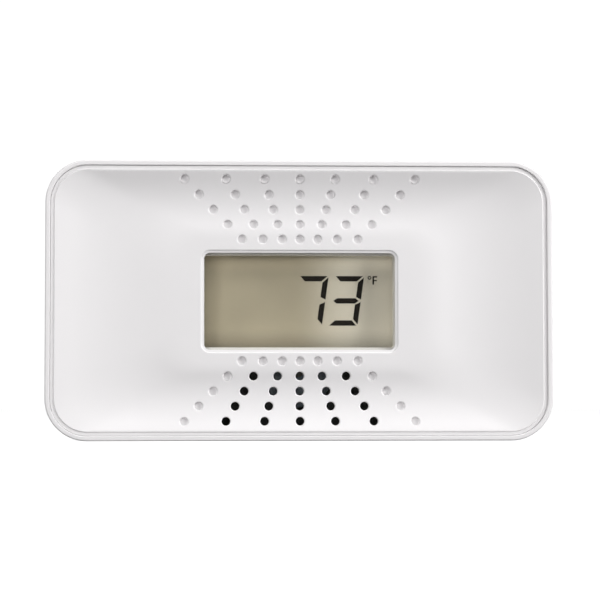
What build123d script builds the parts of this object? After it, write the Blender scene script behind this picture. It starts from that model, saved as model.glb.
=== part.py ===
from build123d import *
import math
import os

# Frame: X to the right and Z up as seen from the front, Y towards the back.
# The origin is the bottom centre of the outline, so the object stands on Z = 0.
# "Depth" is measured back from the front plane; x and z inside functions are
# measured from the middle of the face. All sizes are in millimetres.

# ---- overall size
WIDTH = 150.4
HEIGHT = 83.0
DEPTH = 41.0
CORNER_R = 12.5
CENTRE_Z = HEIGHT / 2

# ---- shell
WALL = 2.0
LIP_WIDTH = 1.5
LIP_ROUND = 0.5
LIP_INNER_ROUND = 0.3
STRAIGHT_BAND = 2.5
FRONT_DRAFT = 2.6
REAR_DRAFT = 6.0
SEAM = 21.0
BACK_ROUND = 6.0
SHELF_FRONT = 3.2
SHELF_BACK = 4.8
SHELF_INSET = 4.5
TONGUE = 1.5

# ---- dished face panel
PANEL_INSET = 2.55
PANEL_TOP = 0.15
PANEL_T = 2.0
FLANGE_INSET = 1.6
FLANGE_FRONT = 0.6
HOOK_REAR = 6.3
DISH_CORNER_R = 10.0
DISH_RUN = 20.4
DISH_STRETCH = 1.797
RIM_SLOPE = 26.0
RIM_RUN = 3.0
INNER_SLOPE = -14.5
INNER_RUN = 16.5
GRID_STEP = 2.4

# ---- vent holes: rows above and below the display, on rays from the face centre
HOLE_ROWS = 5
FIRST_ROW = 18.1
ROW_PITCH = 4.46
VENT_CENTRE_Z = 0.2
RAY_SLOPES = (0.0, 0.292, 0.610, 0.953)
THROUGH_R = 1.28
DIMPLE_R = 1.25
DIMPLE_DEPTH = 1.15
MOUTH_R = 1.70

# ---- display window, lens and liquid crystal stack
WINDOW_W = 56.9
WINDOW_H = 28.85
WINDOW_R = 1.8
WINDOW_Z = -0.17
WINDOW_BEVEL = 1.05
LENS_W = 62.0
LENS_H = 34.0
LENS_T = 1.2
WINDOW_WALL = 1.6
HOLDER_W = 64.0
HOLDER_H = 35.4
HOLDER_WINDOW_W = 56.6
HOLDER_WINDOW_H = 27.6
HOLDER_DEPTH = 4.6
GLASS_W = 60.0
GLASS_H = 31.0
GLASS_T = 1.1
FILM_T = 0.2
CELL_GAP = 0.1
PIN_PITCH = 2.54
LCD_PINS = 19

# ---- figures on the display
DIGIT_H = 14.95
DIGIT_W = 8.93
STROKE = 1.58
SEGMENT_GAP = 0.38
DIGIT_PITCH = 10.73
DIGIT_SLANT = 7.96
ONES_X = 8.86
ONES_Z = -7.04
DEGREE_X = 21.5

# ---- circuit board
BOARD_W = 114.0
BOARD_H = 60.0
BOARD_FRONT = 17.0
BOARD_T = 1.6
BOARD_BACK = BOARD_FRONT + BOARD_T
POST_X = 50.0
POST_Z = 25.0

# ---- screws
BOSS_X = 62.0
BOSS_Z = 28.5
BOSS_SEAT = 30.0
SCREW_R = 1.25
SCREW_HEAD_R = 2.8
SCREW_HEAD_H = 2.2

# ---- sounder and its duct
SOUNDER_Z = -21.0
SOUNDER_R = 10.7
SOUNDER_FRONT = 13.6
SOUNDER_HORN = 1.6
DUCT_HALF_W = 31.0
DUCT_TOP = -18.6
DUCT_BOTTOM = -38.2
DUCT_FRONT = 5.8
DUCT_BACK = 14.2
DUCT_WALL = 1.2

# ---- sensor and battery behind the board
SENSOR_X = -46.0
SENSOR_Z = -12.0
SENSOR_R = 9.3
CELL_R = 8.35
CELL_LENGTH = 43.0
SLEEVE_T = 0.25
BATTERY_Z = -6.5
BATTERY_DEPTH = 28.0

# ---- test button on the top and its switch
BUTTON_DEPTH = 14.0
BUTTON_W = 34.0
BUTTON_L = 10.0
BUTTON_GAP = 0.4
BUTTON_TOP = 41.3
PLUNGER_R = 1.75
PLUNGER_TOP = 33.5

# ---- activation slide switch on the back
SLIDER_Z = -26.0
SLIDER_TRAVEL = 4.0
SLIDER_REST_X = -SLIDER_TRAVEL / 2

# ---- keyhole hangers in the back
KEYHOLE_X = 32.0
KEYHOLE_Z = 10.0
KEYHOLE_R = 4.25
KEYHOLE_SLOT = 4.2
KEYHOLE_RISE = 8.0
KEYHOLE_DEPTH = 5.0

# ---- feet
FOOT_X = 45.0
FOOT_DEPTH = 30.0
FOOT_L = 14.0
FOOT_W = 8.0
FOOT_H = 2.6

CORNERS = [(sx, sz) for sx in (-1, 1) for sz in (-1, 1)]


# ---------------------------------------------------------------- drawing helpers
def y_at(depth):
    """Y of a depth behind the front plane."""
    return depth - DEPTH / 2


def facing(depth, x=0.0, z=0.0):
    """Work plane parallel to the face, at a depth, seen from the front."""
    return Plane(origin=(x, y_at(depth), CENTRE_Z + z), x_dir=(1, 0, 0), z_dir=(0, -1, 0))


def slab(outline, front, rear, x=0.0, z=0.0):
    """Flat outline run straight back from one depth to another."""
    return extrude(facing(rear, x, z) * outline, amount=rear - front)


def rod(x, z, front, rear, radius):
    """Round bar that runs front to back."""
    return slab(Circle(radius), front, rear, x, z)


def block(x1, x2, z1, z2, front, rear):
    """Rectangular block given by its limits."""
    return slab(Rectangle(x2 - x1, z2 - z1), front, rear, (x1 + x2) / 2, (z1 + z2) / 2)


def upright(outline, x, depth, z1, z2):
    """Flat outline, drawn in plan, run straight up from z1 to z2."""
    return extrude(Pos(x, y_at(depth), CENTRE_Z + z1) * outline, amount=z2 - z1)


def crossbar(x1, x2, z, depth, radius):
    """Round bar that runs from left to right."""
    start = Plane(origin=(x1, y_at(depth), CENTRE_Z + z), z_dir=(1, 0, 0))
    return extrude(start * Circle(radius), amount=x2 - x1)


def draw_in(depth):
    """How far the side walls have come in from the outline at a depth."""
    front_run = max(min(depth, SEAM) - STRAIGHT_BAND, 0.0)
    rear_run = max(depth - SEAM, 0.0)
    return front_run * math.tan(math.radians(FRONT_DRAFT)) + rear_run * math.tan(math.radians(REAR_DRAFT))


def side_outline(depth, inset=0.0):
    """Rounded outline of the shell at a depth, moved in by inset."""
    k = draw_in(depth) + inset
    return RectangleRounded(WIDTH - 2 * k, HEIGHT - 2 * k, CORNER_R - k)


def drafted(front, rear, inset=0.0):
    """Block between two depths whose sides follow the draft of the shell."""
    ends = [facing(d) * side_outline(d, inset) for d in (front, rear)]
    return loft(ends, ruled=True)


# ---------------------------------------------------------------- dish of the face
def slope_sink(angle_from, angle_to, run):
    """Drop over a run in which the slope angle turns evenly from one value to another."""
    turn = math.radians(angle_from - angle_to)
    cosines = math.cos(math.radians(angle_to)) / math.cos(math.radians(angle_from))
    return run / turn * math.log(cosines)


def sink(run):
    """Depth of the dish below its rim, a given run in from the rim."""
    if run <= RIM_RUN:
        return run * math.tan(math.radians(RIM_SLOPE))
    drop = RIM_RUN * math.tan(math.radians(RIM_SLOPE))
    part = min(run, INNER_RUN) - RIM_RUN
    angle = RIM_SLOPE + (INNER_SLOPE - RIM_SLOPE) * part / (INNER_RUN - RIM_RUN)
    drop += slope_sink(RIM_SLOPE, angle, part) if part > 1e-6 else 0.0
    if run > INNER_RUN:
        rest = min(run, DISH_RUN) - INNER_RUN
        end_angle = INNER_SLOPE * (1 - rest / (DISH_RUN - INNER_RUN))
        drop += slope_sink(INNER_SLOPE, end_angle, rest) if rest > 1e-6 else 0.0
    return drop


def run_in(x, z):
    """How far in from the rim a point is, on nested rounded rectangles."""
    low, high = -6.0, DISH_RUN
    for _ in range(40):
        mid = (low + high) / 2
        half_x = WIDTH / 2 - PANEL_INSET - DISH_STRETCH * mid - DISH_CORNER_R
        half_z = HEIGHT / 2 - PANEL_INSET - mid - DISH_CORNER_R
        over_x = max(abs(x) - half_x, 0.0)
        over_z = max(abs(z) - half_z, 0.0)
        inside = math.hypot(over_x, over_z) <= DISH_CORNER_R
        low, high = (mid, high) if inside else (low, mid)
    return low


def face_depth(x, z):
    """Depth of the front surface of the panel at a point."""
    return PANEL_TOP + sink(run_in(x, z))


def steps(half, step):
    """Even stations from -half to half, about a step apart."""
    count = 2 * math.ceil(half / step)
    return [half * (2 * i / count - 1) for i in range(count + 1)]


def dish_slab(front_shift, thickness):
    """Slab whose front follows the dish, moved back by front_shift."""
    rows = [
        [Vector(x, y_at(face_depth(x, z) + front_shift), CENTRE_Z + z) for x in steps(WIDTH / 2, GRID_STEP)]
        for z in steps(HEIGHT / 2, GRID_STEP)
    ]
    skin = Face.make_surface_from_array_of_points(rows, tol=0.01, min_deg=3, max_deg=3)
    return extrude(skin, amount=thickness, dir=(0, 1, 0))


def hole_places():
    """(x, z, goes through) of every hole, row by row out from the display."""
    places = []
    for side in (1, -1):
        for row in range(HOLE_ROWS):
            z = FIRST_ROW + row * ROW_PITCH
            for slope in sorted({s * k for s in RAY_SLOPES for k in (-1, 1)}):
                open_hole = side < 0 and row > 0 and abs(slope) < RAY_SLOPES[3]
                places.append((slope * z, side * z + VENT_CENTRE_Z, open_hole))
    return places


def hole_tool(radius, floor, dome):
    """Cutter for a hole with a flared mouth; the skin is at 0 and the hole runs along +Y."""
    flare = 1.2
    outline = [
        (0, -flare),
        (MOUTH_R + flare, -flare),
        (radius, MOUTH_R - radius),
        (radius, floor),
        (0, floor + dome),
    ]
    return revolve(make_face(Polyline(*outline, close=True)), axis=Axis.Y)


# ---------------------------------------------------------------- shells
def front_housing():
    shell = slab(side_outline(0), 0, STRAIGHT_BAND) + drafted(STRAIGHT_BAND, SEAM)
    shell = fillet(shell.edges().group_by(Axis.Y)[0], LIP_ROUND)
    shell -= slab(side_outline(0, LIP_WIDTH), 0, SHELF_FRONT)
    lip_face = shell.faces().sort_by(Axis.Y)[0]
    shell = fillet(lip_face.inner_wires()[0].edges(), LIP_INNER_ROUND)
    shell -= slab(side_outline(0, SHELF_INSET), SHELF_FRONT, SHELF_BACK)
    shell -= drafted(SHELF_BACK, SEAM, WALL)
    opening = SlotOverall(BUTTON_W + 2 * BUTTON_GAP, BUTTON_L + 2 * BUTTON_GAP)
    shell -= upright(opening, 0, BUTTON_DEPTH, 36, 44)
    boss_front, boss_rear, rib_rear, rib_t = 6.5, SEAM - 1.0, 16.0, 0.75
    for sx, sz in CORNERS:
        x, z = sx * BOSS_X, sz * BOSS_Z
        shell += rod(x, z, boss_front, boss_rear, 3.5)
        wall_x, wall_z = sx * (WIDTH / 2 - 1.6), sz * (HEIGHT / 2 - 1.6)
        shell += block(*sorted((x, wall_x)), z - rib_t, z + rib_t, boss_front, rib_rear)
        shell += block(x - rib_t, x + rib_t, *sorted((z, wall_z)), boss_front, rib_rear)
        shell -= rod(x, z, 11.0, boss_rear, SCREW_R + 0.05)
    return shell


def snap_hook(along_x, sign, offset):
    """Hook behind the panel edge that catches under the shelf of the housing."""
    edge = (HEIGHT if along_x else WIDTH) / 2
    inner, outer, catch = edge - SHELF_INSET - 1.4, edge - SHELF_INSET - 0.2, edge - SHELF_INSET + 0.6
    half = 4.0
    pieces = []
    for near, far, front in ((inner, outer, 2.4), (inner, catch, SHELF_BACK + 0.1)):
        lo, hi = sorted((sign * near, sign * far))
        if along_x:
            pieces.append(block(offset - half, offset + half, lo, hi, front, HOOK_REAR))
        else:
            pieces.append(block(lo, hi, offset - half, offset + half, front, HOOK_REAR))
    return pieces[0] + pieces[1]


def face_panel():
    inside = slab(side_outline(0, PANEL_INSET), -1, 12)
    panel = dish_slab(0, PANEL_T) & inside
    flange = slab(side_outline(0, FLANGE_INSET), FLANGE_FRONT, SHELF_FRONT)
    flange -= slab(side_outline(0, SHELF_INSET - 0.3), 0, SHELF_FRONT + 1)
    panel += flange
    lens_seat = face_depth(0, 0) + WINDOW_WALL
    rib = slab(RectangleRounded(LENS_W + 3, LENS_H + 2.6, 2), lens_seat - 0.6, lens_seat + LENS_T)
    panel += rib
    panel -= slab(RectangleRounded(LENS_W + 0.2, LENS_H + 0.2, 1), lens_seat, lens_seat + 6)
    for sx, sz in CORNERS:
        x, z = sx * POST_X, sz * POST_Z
        panel += rod(x, z, face_depth(x, z) + 1.0, BOARD_FRONT, 3.0)
        panel -= rod(x, z, 9.0, BOARD_FRONT, 0.95)
    for x in (-45.0, 45.0):
        for sign in (-1, 1):
            panel += snap_hook(True, sign, x)
    for sign in (-1, 1):
        panel += snap_hook(False, sign, 0.0)
    panel -= slab(RectangleRounded(WINDOW_W, WINDOW_H, WINDOW_R), -1, 12, 0, WINDOW_Z)
    plateau = face_depth(0, 0)
    mouth = []
    for reach in (WINDOW_BEVEL + 0.3, 0.0):
        outline = RectangleRounded(WINDOW_W + 2 * reach, WINDOW_H + 2 * reach, WINDOW_R + reach)
        mouth.append(facing(plateau + WINDOW_BEVEL - reach) * Pos(0, WINDOW_Z) * outline)
    panel -= loft(mouth, ruled=True)
    through = hole_tool(THROUGH_R, 4.0, 0.0)
    dimple = hole_tool(DIMPLE_R, DIMPLE_DEPTH, 0.3)
    cutters = []
    for x, z, goes_through in hole_places():
        spot = Pos(x, y_at(face_depth(x, z)), CENTRE_Z + z)
        cutters.append(spot * (through if goes_through else dimple))
    return panel - cutters


def keyhole_opening():
    """Round entry hole with a narrower slot above it, right through the back wall."""
    hole = Circle(KEYHOLE_R) + Pos(0, KEYHOLE_RISE / 2) * Rectangle(KEYHOLE_SLOT, KEYHOLE_RISE)
    return hole + Pos(0, KEYHOLE_RISE) * Circle(KEYHOLE_SLOT / 2)


def rear_cover():
    cover = drafted(SEAM, DEPTH)
    cover = fillet(cover.edges().group_by(Axis.Y)[-1], BACK_ROUND)
    hollow = drafted(SEAM, DEPTH - WALL, WALL)
    hollow = fillet(hollow.edges().group_by(Axis.Y)[-1], BACK_ROUND - WALL)
    cover -= hollow
    cover += drafted(SEAM - TONGUE, SEAM, WALL + 0.12) - drafted(SEAM - TONGUE, SEAM, WALL + 1.2)
    cover += drafted(SEAM, SEAM + 1.5, WALL - 0.4) - drafted(SEAM, SEAM + 1.5, WALL + 1.2)
    cover -= block(-21, 21, 35, 40, SEAM - TONGUE, SEAM)
    for sx, sz in CORNERS:
        x, z = sx * BOSS_X, sz * BOSS_Z
        cover += rod(x, z, SEAM - 1.0, DEPTH - WALL + 0.5, 4.4)
        cover -= rod(x, z, SEAM - 1.0, DEPTH, SCREW_R + 0.3)
        cover -= rod(x, z, BOSS_SEAT, DEPTH, SCREW_HEAD_R + 0.4)
    back_inside = DEPTH - WALL
    pocket_front = back_inside - KEYHOLE_DEPTH
    for sx in (-1, 1):
        x = sx * KEYHOLE_X
        cover += block(x - 8.2, x + 8.2, 3.8, 23.2, pocket_front - 1.2, back_inside + 0.5)
        cover -= block(x - 7.0, x + 7.0, 5.0, 22.0, pocket_front, back_inside)
        cover -= slab(keyhole_opening(), back_inside, DEPTH, x, KEYHOLE_Z)
        for i in range(7):
            slit_x = sx * 46.0 + (i - 3) * 3.6
            cover -= slab(Rot(0, 0, 90) * SlotOverall(16, 1.6), back_inside - 1, DEPTH, slit_x, -12)
    cover -= slab(RectangleRounded(22, 8, 2), DEPTH - 1.1, DEPTH, 0, SLIDER_Z)
    cover -= slab(RectangleRounded(12.2, 5.2, 1), back_inside, DEPTH, 0, SLIDER_Z)
    for side in (-1, 1):
        rail_z = SLIDER_Z + side * 4.6
        cover += block(-13, 13, rail_z - 0.6, rail_z + 0.6, back_inside - 2.2, back_inside + 0.5)
    for sx in (-1, 1):
        cover -= upright(foot_outline(0.15), sx * FOOT_X, FOOT_DEPTH, -CENTRE_Z - 1, -CENTRE_Z + FOOT_H)
        pad_low = -CENTRE_Z + FOOT_H
        cover += upright(foot_outline(1.5), sx * FOOT_X, FOOT_DEPTH, pad_low, pad_low + 1.4)
    return cover


def foot_outline(grow=0.0):
    return RectangleRounded(FOOT_L + 2 * grow, FOOT_W + 2 * grow, 3 + grow)


def rubber_feet():
    feet = []
    for sx in (-1, 1):
        foot = upright(foot_outline(), sx * FOOT_X, FOOT_DEPTH, -CENTRE_Z, -CENTRE_Z + FOOT_H)
        feet.append(fillet(foot.edges().group_by(Axis.Z)[0], 0.6))
    return feet


# ---------------------------------------------------------------- display
def lens_front():
    return face_depth(0, 0) + WINDOW_WALL


def film_front():
    """Depth of the front film, just behind the holder's lip."""
    return lens_front() + LENS_T + 0.07 + HOLDER_DEPTH


def stack_depths():
    """Front depths of front film, front glass, crystal gap, rear glass and reflector, then the back."""
    depths = [film_front()]
    for thickness in (FILM_T, GLASS_T, CELL_GAP, GLASS_T, FILM_T + 0.05):
        depths.append(depths[-1] + thickness)
    return depths


def display_lens():
    return slab(RectangleRounded(LENS_W, LENS_H, 0.9), lens_front(), lens_front() + LENS_T)


def stack_layer(index, width, height):
    depths = stack_depths()
    return slab(Rectangle(width, height), depths[index], depths[index + 1])


def lcd_seal():
    """Glue line that joins the two glasses round the edge."""
    ring = stack_layer(2, GLASS_W - 0.6, GLASS_H - 0.6)
    return ring - stack_layer(2, GLASS_W - 3.0, GLASS_H - 3.0)


def segment_shapes():
    """The seven segments of one upright figure, keyed a to g, lower left corner at the origin."""
    w, h, s, g = DIGIT_W, DIGIT_H, STROKE, SEGMENT_GAP
    mid, half = h / 2, s / 2
    right_up = [(w, h - g), (w - s, h - s - g), (w - s, mid + half + g), (w, mid + g)]
    return {
        "a": [(g, h), (w - g, h), (w - s - g, h - s), (s + g, h - s)],
        "b": right_up,
        "c": [(x, h - z) for x, z in right_up],
        "d": [(g, 0), (w - g, 0), (w - s - g, s), (s + g, s)],
        "g": [
            (g + 0.25, mid),
            (s + g * 0.3, mid + half),
            (w - s - g * 0.3, mid + half),
            (w - g - 0.25, mid),
            (w - s - g * 0.3, mid - half),
            (s + g * 0.3, mid - half),
        ],
    }


def lcd_digits():
    """The dark, switched-on segments: a reading of 73 and a degree F mark."""
    front, rear = stack_depths()[2] + 0.02, stack_depths()[3] - 0.02
    lean = math.tan(math.radians(DIGIT_SLANT))
    shapes = segment_shapes()
    marks = []
    for column, lit in ((0, "abgcd"), (-1, "abc")):
        for name in lit:
            left = ONES_X + column * DIGIT_PITCH
            points = [(left + x + z * lean, ONES_Z + z) for x, z in shapes[name]]
            marks.append(slab(make_face(Polyline(*points, close=True)), front, rear))
    top = ONES_Z + DIGIT_H
    marks.append(slab(Circle(0.57) - Circle(0.28), front, rear, DEGREE_X, top - 0.5))
    letter = Pos(DEGREE_X + 1.13, top - 1.28) * Rectangle(0.45, 2.56)
    letter += Pos(DEGREE_X + 1.6, top - 0.21) * Rectangle(1.4, 0.42)
    letter += Pos(DEGREE_X + 1.55, top - 1.32) * Rectangle(1.3, 0.36)
    marks.append(slab(letter, front, rear))
    return marks


def lcd_holder():
    front = lens_front() + LENS_T + 0.07
    rear = stack_depths()[-1] + 0.3
    frame = slab(RectangleRounded(HOLDER_W, HOLDER_H, 1.5), front, rear)
    frame -= slab(RectangleRounded(HOLDER_WINDOW_W, HOLDER_WINDOW_H, 0.8), front, rear)
    frame -= slab(Rectangle(GLASS_W + 0.2, GLASS_H + 0.2), film_front(), rear)
    reach = LCD_PINS * PIN_PITCH / 2 + 0.6
    frame -= block(-reach, reach, GLASS_H / 2, GLASS_H / 2 + 0.8, film_front(), rear)
    for sx, sz in CORNERS:
        x, z = sx * (HOLDER_W / 2 - 1.2), sz * (HOLDER_H / 2 - 0.9)
        frame += block(x - 1.2, x + 1.2, z - 0.9, z + 0.9, rear - 0.5, BOARD_FRONT)
    return frame


def pin_columns():
    return [(i - (LCD_PINS - 1) / 2) * PIN_PITCH for i in range(LCD_PINS)]


def lcd_pins():
    low, high = GLASS_H / 2, GLASS_H / 2 + 0.3
    front, rear = film_front() + 0.3, BOARD_BACK + 1.0
    return [block(x - 0.25, x + 0.25, low, high, front, rear) for x in pin_columns()]


# ---------------------------------------------------------------- board and parts on it
def sensor_pin_places():
    spots = [math.radians(a) for a in (90, 210, 330)]
    return [(SENSOR_X + 6.5 * math.cos(a), SENSOR_Z + 6.5 * math.sin(a)) for a in spots]


def sounder_pin_places():
    return [(-5.0, SOUNDER_Z + 3.0), (5.0, SOUNDER_Z + 3.0)]


def main_board():
    board = slab(RectangleRounded(BOARD_W, BOARD_H, 2), BOARD_FRONT, BOARD_BACK)
    for sx, sz in CORNERS:
        board -= rod(sx * POST_X, sz * POST_Z, BOARD_FRONT, BOARD_BACK, 1.3)
    for x in pin_columns():
        board -= rod(x, GLASS_H / 2 + 0.15, BOARD_FRONT, BOARD_BACK, 0.45)
    for x, z in sensor_pin_places() + sounder_pin_places():
        board -= rod(x, z, BOARD_FRONT, BOARD_BACK, 0.55)
    return board


def microcontroller():
    x, z, half, height = -18.0, 3.0, 5.0, 1.4
    rear = BOARD_FRONT - 0.1
    chip = block(x - half, x + half, z - half, z + half, rear - height, rear)
    chip = chamfer(chip.edges().group_by(Axis.Y)[0], 0.3)
    leg_front = BOARD_FRONT - 0.5
    for i in range(10):
        offset = (i - 4.5) * 0.9
        for side in (-1, 1):
            lo, hi = sorted((side * (half - 0.2), side * (half + 1.0)))
            low, high = offset - 0.2, offset + 0.2
            chip += block(x + lo, x + hi, z + low, z + high, leg_front, BOARD_FRONT)
            chip += block(x + low, x + high, z + lo, z + hi, leg_front, BOARD_FRONT)
    return chip


def chip_components():
    """Small resistors and capacitors in rows beside the controller and behind the board."""
    parts = []
    for row in range(3):
        for column in range(6):
            x, z = 4.0 + column * 4.0, 9.0 - row * 4.0
            parts.append(block(x - 1.0, x + 1.0, z - 0.6, z + 0.6, BOARD_FRONT - 0.7, BOARD_FRONT))
    for row in range(2):
        for column in range(5):
            x, z = -12.0 + column * 5.0, 24.5 - row * 4.5
            parts.append(block(x - 1.2, x + 1.2, z - 0.8, z + 0.8, BOARD_BACK, BOARD_BACK + 0.9))
    return parts


def step_up_coil():
    """Ferrite bobbin with two flanges, filled with wire."""
    x, z = 34.0, -6.0
    end = BOARD_BACK + 8.0
    coil = rod(x, z, BOARD_BACK, end, 4.5)
    coil += rod(x, z, BOARD_BACK, BOARD_BACK + 1.2, 5.0)
    return coil + rod(x, z, end - 1.2, end, 5.0)


def reservoir_capacitor():
    x, z = 46.0, 6.0
    groove_front, groove_rear = BOARD_BACK + 2.0, BOARD_BACK + 2.8
    can = rod(x, z, BOARD_BACK, BOARD_BACK + 12.0, 4.0)
    can -= rod(x, z, groove_front, groove_rear, 5.0) - rod(x, z, groove_front, groove_rear, 3.6)
    return fillet(can.edges().group_by(Axis.Y)[-1], 0.5)


def thermistor():
    x, z = 54.0, -15.0
    bead = Pos(x, y_at(BOARD_FRONT - 5.0), CENTRE_Z + z) * Sphere(1.3)
    for side in (-0.7, 0.7):
        bead += rod(x + side, z, BOARD_FRONT - 5.0, BOARD_FRONT, 0.22)
    return bead


def board_screws():
    screws = []
    for sx, sz in CORNERS:
        x, z = sx * POST_X, sz * POST_Z
        screw = rod(x, z, 10.5, BOARD_BACK, 0.9) + rod(x, z, BOARD_BACK, BOARD_BACK + 1.5, 2.1)
        screw = fillet(screw.edges().group_by(Axis.Y)[-1], 0.5)
        for w, h in ((2.4, 0.5), (0.5, 2.4)):
            screw -= slab(Rectangle(w, h), BOARD_BACK + 0.7, BOARD_BACK + 2, x, z)
        screws.append(screw)
    return screws


def case_screws():
    screws = []
    for sx, sz in CORNERS:
        x, z = sx * BOSS_X, sz * BOSS_Z
        top = BOSS_SEAT + SCREW_HEAD_H
        screw = rod(x, z, 12.0, BOSS_SEAT, SCREW_R) + rod(x, z, BOSS_SEAT, top, SCREW_HEAD_R)
        screw = fillet(screw.edges().group_by(Axis.Y)[-1], 0.8)
        for w, h in ((3.2, 0.7), (0.7, 3.2)):
            screw -= slab(Rectangle(w, h), top - 1.2, top + 1, x, z)
        screws.append(screw)
    return screws


# ---------------------------------------------------------------- sounder and its duct
def sound_baffle():
    top, bottom, half = DUCT_TOP, DUCT_BOTTOM, DUCT_HALF_W
    tub = block(-half, half, bottom, top, DUCT_FRONT, DUCT_BACK)
    tub = fillet(tub.edges().filter_by(Axis.Y), 2.0)
    w, h = 2 * half - 2 * DUCT_WALL, top - bottom - 2 * DUCT_WALL
    room = RectangleRounded(w, h, 1.0)
    tub -= slab(room, DUCT_FRONT, DUCT_BACK - 1.0, 0, (top + bottom) / 2)
    return tub - rod(0, SOUNDER_Z, SOUNDER_FRONT - 4, DUCT_BACK + 1, SOUNDER_R + 0.2)


def sounder_horn():
    """Front cap of the sounder, with the hole that the sound comes out of."""
    rear = SOUNDER_FRONT + SOUNDER_HORN
    horn = rod(0, SOUNDER_Z, SOUNDER_FRONT, rear, SOUNDER_R)
    horn = fillet(horn.edges().group_by(Axis.Y)[0], 0.4)
    horn -= rod(0, SOUNDER_Z, SOUNDER_FRONT + 0.7, rear, SOUNDER_R - 0.8)
    return horn - rod(0, SOUNDER_Z, SOUNDER_FRONT, rear, 1.6)


def sounder_base():
    front = SOUNDER_FRONT + SOUNDER_HORN
    base = rod(0, SOUNDER_Z, front, BOARD_FRONT, SOUNDER_R)
    base -= rod(0, SOUNDER_Z, front, front + 0.6, SOUNDER_R - 0.8)
    base -= rod(0, SOUNDER_Z, front, BOARD_FRONT - 0.6, SOUNDER_R - 2.2)
    for x, z in sounder_pin_places():
        base -= rod(x, z, front, BOARD_FRONT, 0.45)
    return base


def sounder_disc():
    """Brass diaphragm on the ledge of the base."""
    rear = SOUNDER_FRONT + SOUNDER_HORN + 0.6
    return rod(0, SOUNDER_Z, rear - 0.25, rear, SOUNDER_R - 1.0)


def sounder_ceramic():
    rear = SOUNDER_FRONT + SOUNDER_HORN + 0.35
    return rod(0, SOUNDER_Z, rear - 0.25, rear, 6.5)


def sounder_pins():
    return [rod(x, z, BOARD_FRONT - 1.1, BOARD_BACK + 1.0, 0.4) for x, z in sounder_pin_places()]


# ---------------------------------------------------------------- gas sensor
def co_sensor_base():
    base = rod(SENSOR_X, SENSOR_Z, BOARD_BACK, BOARD_BACK + 2.0, SENSOR_R + 0.5)
    for x, z in sensor_pin_places():
        base -= rod(x, z, BOARD_BACK, BOARD_BACK + 2.0, 0.45)
    return base


def co_sensor_can():
    front = BOARD_BACK + 2.0
    can = rod(SENSOR_X, SENSOR_Z, front, front + 13.0, SENSOR_R)
    can = fillet(can.edges().group_by(Axis.Y)[-1], 1.0)
    return can - rod(SENSOR_X, SENSOR_Z, front + 12.2, front + 13.0, 6.0)


def co_sensor_filter():
    front = BOARD_BACK + 2.0 + 12.2
    disc = rod(SENSOR_X, SENSOR_Z, front, front + 0.6, 5.8)
    return disc - rod(SENSOR_X, SENSOR_Z, front + 0.3, front + 0.6, 2.0)


def co_sensor_pins():
    return [rod(x, z, BOARD_FRONT - 1.0, BOARD_BACK + 1.8, 0.4) for x, z in sensor_pin_places()]


# ---------------------------------------------------------------- battery
def battery_cell():
    end = CELL_LENGTH / 2
    cell = crossbar(-end, end, BATTERY_Z, BATTERY_DEPTH, CELL_R)
    cell = fillet(cell.edges(), 0.8)
    return cell + crossbar(end, end + 1.2, BATTERY_Z, BATTERY_DEPTH, 3.0)


def battery_sleeve():
    end = CELL_LENGTH / 2
    outer = crossbar(-end - 0.4, end + 0.4, BATTERY_Z, BATTERY_DEPTH, CELL_R + SLEEVE_T)
    outer = fillet(outer.edges(), 1.0)
    outer -= crossbar(-end, end, BATTERY_Z, BATTERY_DEPTH, CELL_R)
    return outer - crossbar(-end - 1, end + 1, BATTERY_Z, BATTERY_DEPTH, 6.5)


def battery_tabs():
    end = CELL_LENGTH / 2
    low, high = BATTERY_Z - 2.5, BATTERY_Z + 2.5
    plus = block(end + 1.2, end + 1.5, low, high, BOARD_BACK, BATTERY_DEPTH + 3)
    plus += block(end + 1.2, end + 4.0, low, high, BOARD_BACK, BOARD_BACK + 0.3)
    minus = block(-end - 0.8, -end - 0.5, low, high, BOARD_BACK, BATTERY_DEPTH + 3)
    minus += block(-end - 3.3, -end - 0.5, low, high, BOARD_BACK, BOARD_BACK + 0.3)
    minus += crossbar(-end - 0.5, -end, BATTERY_Z, BATTERY_DEPTH, 2.0)
    return [plus, minus]


def battery_cradle():
    half, reach = 18.0, CELL_R + 1.9
    cradle = block(-half, half, BATTERY_Z - reach, BATTERY_Z + reach, BOARD_BACK, BATTERY_DEPTH)
    cradle -= block(-8, 8, BATTERY_Z - reach, BATTERY_Z + reach, BOARD_BACK + 0.55, BATTERY_DEPTH)
    return cradle - crossbar(-half, half, BATTERY_Z, BATTERY_DEPTH, CELL_R + SLEEVE_T + 0.1)


# ---------------------------------------------------------------- test button
def test_button():
    flange_low, flange_high = 37.3, 38.5
    cap = upright(SlotOverall(BUTTON_W, BUTTON_L), 0, BUTTON_DEPTH, flange_low, BUTTON_TOP)
    cap = fillet(cap.edges().group_by(Axis.Z)[-1], 0.7)
    cap += upright(SlotOverall(BUTTON_W + 3, BUTTON_L + 2.4), 0, BUTTON_DEPTH, flange_low, flange_high)
    hollow = SlotOverall(BUTTON_W - 3.2, BUTTON_L - 3.2)
    cap -= upright(hollow, 0, BUTTON_DEPTH, flange_low, BUTTON_TOP - 1.6)
    stem = upright(Circle(2.2), 0, BUTTON_DEPTH, PLUNGER_TOP, BUTTON_TOP - 1.0)
    stem += upright(Rectangle(12, 1.2), 0, BUTTON_DEPTH, flange_low, BUTTON_TOP - 1.0)
    return cap + stem


def test_switch_body():
    body = block(-3, 3, 27.5, 31.0, BOARD_FRONT - 6.0, BOARD_FRONT)
    return body - upright(Circle(PLUNGER_R + 0.3), 0, BUTTON_DEPTH, 28.4, 31.0)


def test_switch_plunger():
    return upright(Circle(PLUNGER_R), 0, BUTTON_DEPTH, 29.6, PLUNGER_TOP)


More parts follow.
